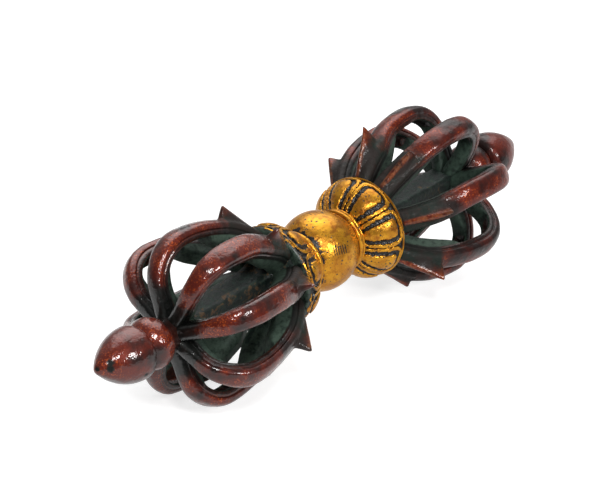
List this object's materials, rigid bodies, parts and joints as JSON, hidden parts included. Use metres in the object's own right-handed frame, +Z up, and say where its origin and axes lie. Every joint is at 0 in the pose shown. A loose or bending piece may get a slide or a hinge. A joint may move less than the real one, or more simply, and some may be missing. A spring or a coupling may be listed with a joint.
{
  "type": "dorje",
  "caption": "Hand-held ritual dorje: a gilt globe between petalled lotus cups, and at each end a cage of curved lacquered prongs with thorns, closed by a bead and a pointed bud.",
  "frame": {"origin": "centre of the globe, which is the middle of the staff", "axes": "+X along the staff towards the right bud, +Z up as it lies on two prongs of each cage"},
  "size_m": [0.154, 0.0402, 0.0402],
  "materials": {
    "gilt": "worn gilding, dark in the recesses",
    "lacquer": "glossy dark red-brown lacquer, worn",
    "verdigris": "dark green patina, satin",
    "rod_iron": "plain"
  },
  "bodies": {
    "root": {"hub_globe": "gilt", "tie_rod": "rod_iron", "left_collar": "gilt", "left_lotus_cup": "gilt", "left_central_prong": "verdigris", "left_bead": "lacquer", "left_bud": "lacquer", "right_collar": "gilt", "right_lotus_cup": "gilt", "right_central_prong": "verdigris", "right_bead": "lacquer", "right_bud": "lacquer", "left_prong_1": "lacquer", "left_prong_2": "lacquer", "left_prong_3": "lacquer", "left_prong_4": "lacquer", "left_prong_5": "lacquer", "left_prong_6": "lacquer", "left_prong_7": "lacquer", "left_prong_8": "lacquer", "right_prong_1": "lacquer", "right_prong_2": "lacquer", "right_prong_3": "lacquer", "right_prong_4": "lacquer", "right_prong_5": "lacquer", "right_prong_6": "lacquer", "right_prong_7": "lacquer", "right_prong_8": "lacquer"}
  },
  "joints": []
}
